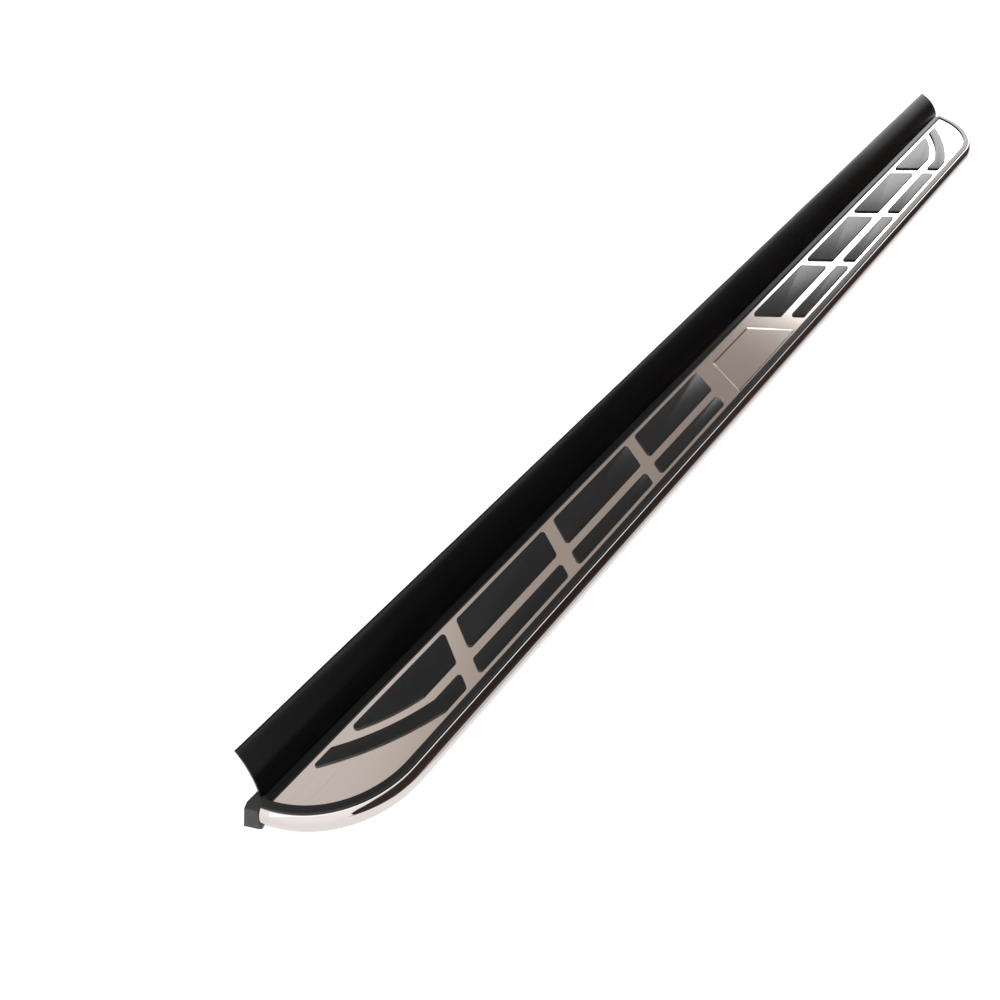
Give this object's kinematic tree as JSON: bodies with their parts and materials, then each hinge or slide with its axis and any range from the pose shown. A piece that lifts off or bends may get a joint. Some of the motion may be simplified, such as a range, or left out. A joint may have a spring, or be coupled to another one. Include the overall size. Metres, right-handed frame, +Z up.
{
  "type": "running board",
  "caption": "Vehicle running board: aluminium rail, brushed steel tread with raised rubber pads, bright outer trim, rubber splash flap and end caps.",
  "frame": {"origin": "centre of the board's footprint, on the plane of the rail's underside", "axes": "+X along the board, +Y towards the vehicle (the splash flap's side), +Z up"},
  "size_m": [1.98, 0.1508, 0.0762],
  "materials": {
    "rail_aluminium": "satin anodised extrusion",
    "tray_plastic": "moulded black, fine grain",
    "zinc_steel": "zinc plated",
    "tread_steel": "fine brushed along the board",
    "pad_rubber": "matt, fine grain",
    "strip_rubber": "satin extruded",
    "trim_chrome": "mirror polished",
    "holder_plastic": "satin extruded",
    "flap_rubber": "matt extruded",
    "cap_plastic": "moulded, fine grain",
    "dark_screw": "black zinc"
  },
  "bodies": {
    "board": {"cap_screws": "dark_screw", "deck_screws": "zinc_steel", "edge_strip": "strip_rubber", "end_cap_left": "cap_plastic", "end_cap_right": "cap_plastic", "flap_holder": "holder_plastic", "front_pad_1": "pad_rubber", "front_pad_2": "pad_rubber", "front_pad_3": "pad_rubber", "front_pad_4": "pad_rubber", "front_pad_5": "pad_rubber", "front_pad_6": "pad_rubber", "front_pad_7": "pad_rubber", "front_pad_8": "pad_rubber", "main_rail": "rail_aluminium", "outer_trim": "trim_chrome", "rear_pad_1": "pad_rubber", "rear_pad_2": "pad_rubber", "rear_pad_3": "pad_rubber", "rear_pad_4": "pad_rubber", "rear_pad_5": "pad_rubber", "rear_pad_6": "pad_rubber", "rear_pad_7": "pad_rubber", "rear_pad_8": "pad_rubber", "splash_flap": "flap_rubber", "support_tray": "tray_plastic", "tread_plate": "tread_steel"},
    "nut_1": {"slot_nut_1": "zinc_steel"},
    "nut_2": {"slot_nut_2": "zinc_steel"},
    "nut_3": {"slot_nut_3": "zinc_steel"},
    "nut_4": {"slot_nut_4": "zinc_steel"}
  },
  "joints": [
    {"name": "nut_1_slide", "type": "slide", "parent": "board", "child": "nut_1", "axis": [1, 0, 0], "range_m": [-0.14, 0.22]},
    {"name": "nut_2_slide", "type": "slide", "parent": "board", "child": "nut_2", "axis": [1, 0, 0], "range_m": [-0.22, 0.28]},
    {"name": "nut_3_slide", "type": "slide", "parent": "board", "child": "nut_3", "axis": [1, 0, 0], "range_m": [-0.28, 0.22]},
    {"name": "nut_4_slide", "type": "slide", "parent": "board", "child": "nut_4", "axis": [1, 0, 0], "range_m": [-0.22, 0.14]}
  ]
}
